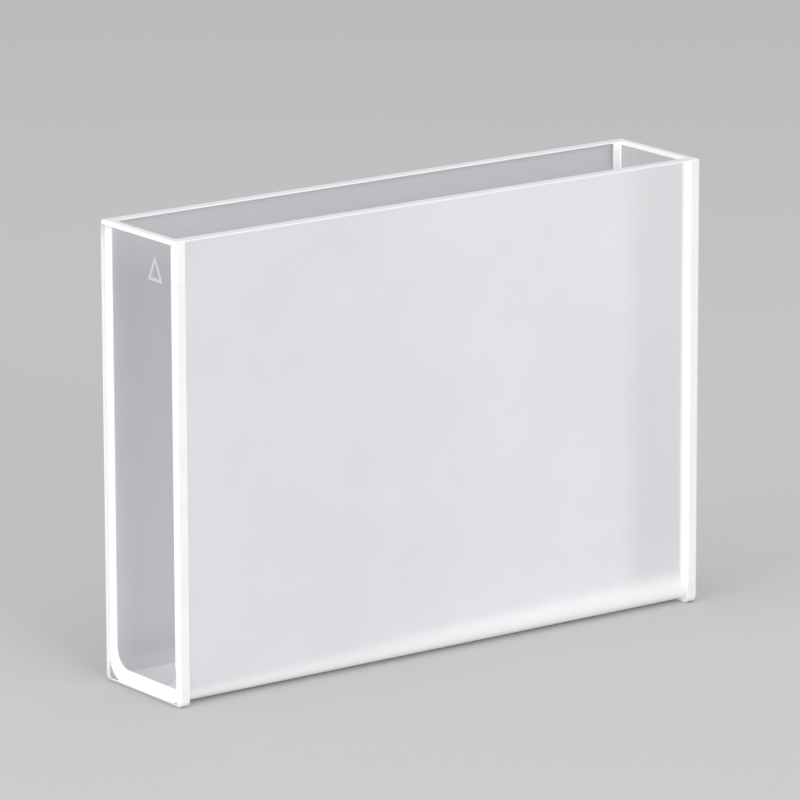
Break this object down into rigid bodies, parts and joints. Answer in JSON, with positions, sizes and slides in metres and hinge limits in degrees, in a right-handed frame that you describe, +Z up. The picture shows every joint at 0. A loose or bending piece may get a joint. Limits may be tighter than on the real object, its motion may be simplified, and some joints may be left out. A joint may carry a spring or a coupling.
{
  "type": "cuvette",
  "caption": "Open-topped rectangular optical cuvette: a frosted quartz trough with rounded lower edges, closed at its ends by clear polished windows.",
  "frame": {"origin": "centre of the cell on the plane that it rests on", "axes": "+X along the light path from the entrance window to the exit window, +Y across the cell, +Z up to the open rim"},
  "size_m": [0.0624, 0.0126, 0.045],
  "materials": {
    "frosted_quartz": "ground outside, translucent white",
    "clear_quartz": "polished clear faces, ground edges"
  },
  "bodies": {
    "root": {"frosted_trough": "frosted_quartz", "entrance_window": "clear_quartz", "exit_window": "clear_quartz"}
  },
  "joints": []
}
